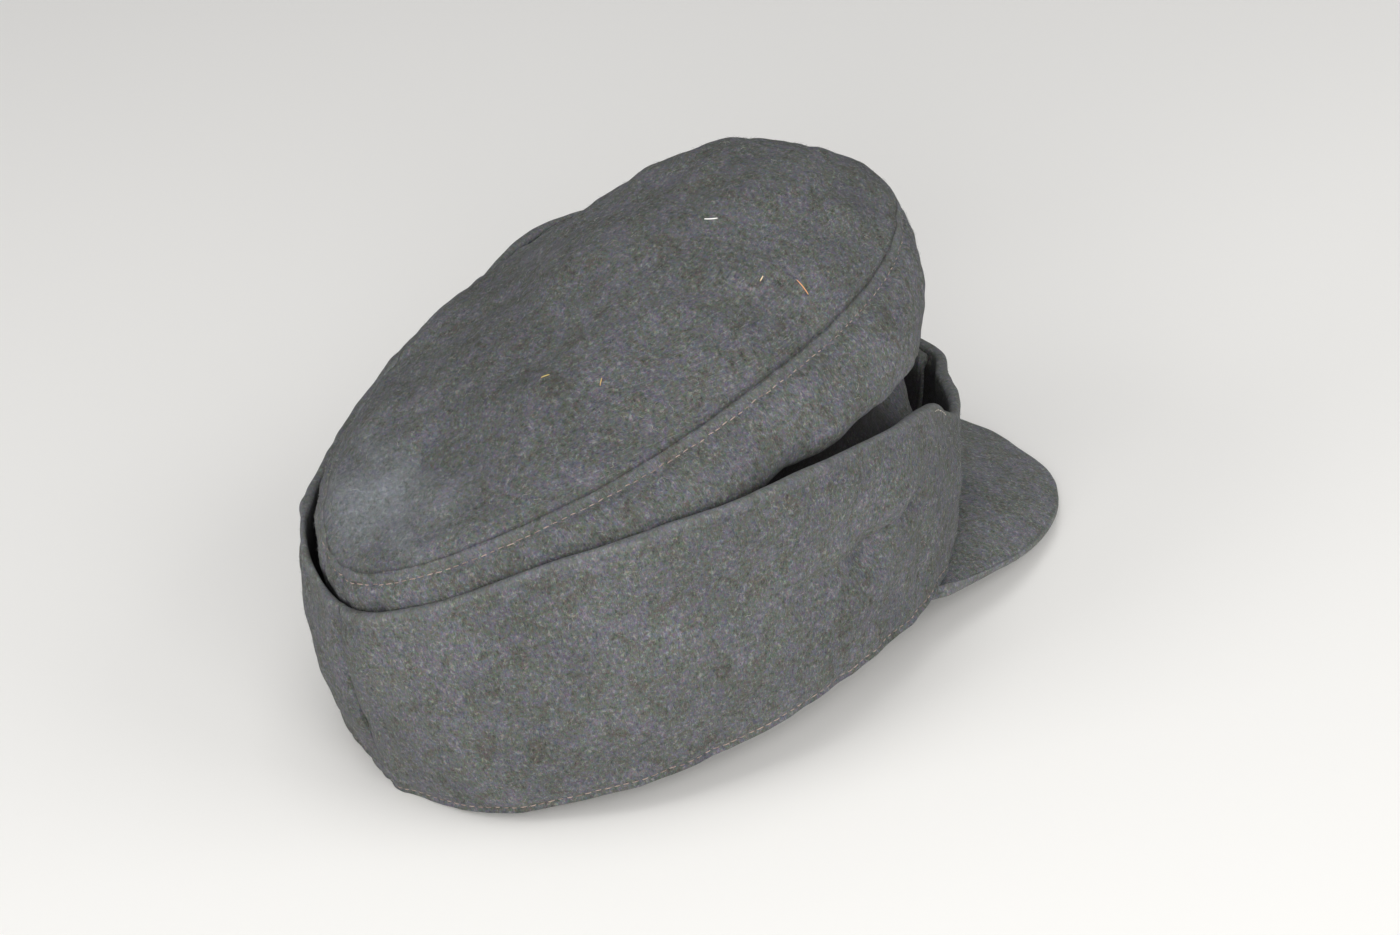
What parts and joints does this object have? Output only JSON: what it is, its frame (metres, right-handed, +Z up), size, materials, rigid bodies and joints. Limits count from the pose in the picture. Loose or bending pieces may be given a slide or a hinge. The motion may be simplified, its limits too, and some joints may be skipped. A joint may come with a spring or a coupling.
{
  "type": "field cap",
  "caption": "Soft wool field cap with a domed oval top, a turned-up flap all round fastened by two front buttons, and a short cloth-covered peak.",
  "frame": {"origin": "on the floor, under the middle of the cap's box as it rests on its peak and the back of its rim", "axes": "+Z up, -Y towards the front of the cap and its peak, +X towards the wearer's left"},
  "size_m": [0.176, 0.2686, 0.1511],
  "materials": {
    "wool": "fulled heather wool cloth, blue-grey with green and brown fibres, matt and slightly hairy",
    "button": "plain grey paint, satin"
  },
  "bodies": {
    "root": {"crown_top": "wool", "crown_side_right": "wool", "crown_side_left": "wool", "flap_right": "wool", "flap_left": "wool", "peak": "wool", "front_button_upper": "button", "front_button_lower": "button"}
  },
  "joints": []
}
